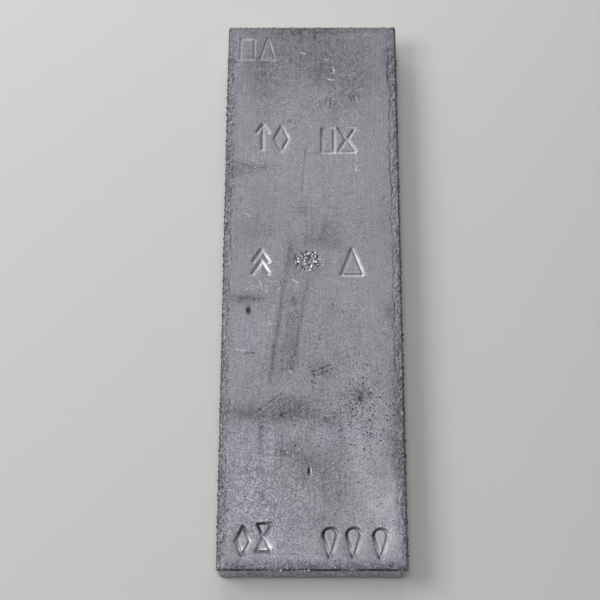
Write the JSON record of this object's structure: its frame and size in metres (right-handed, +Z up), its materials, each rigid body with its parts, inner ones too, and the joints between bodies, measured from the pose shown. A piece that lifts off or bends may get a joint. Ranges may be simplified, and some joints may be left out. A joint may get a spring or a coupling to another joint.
{
  "type": "metal ingot",
  "caption": "Flat hand-poured lead ingot with drafted sides, a rolled-over pour margin and punched marks on its top.",
  "frame": {"origin": "middle of the underside, the flat face that the mould's floor made", "axes": "+Z up out of the pour surface, +Y along the length, +X across the width"},
  "size_m": [0.04, 0.133, 0.0077],
  "materials": {
    "cast_lead": "satin"
  },
  "bodies": {
    "root": {"ingot": "cast_lead"}
  },
  "joints": []
}
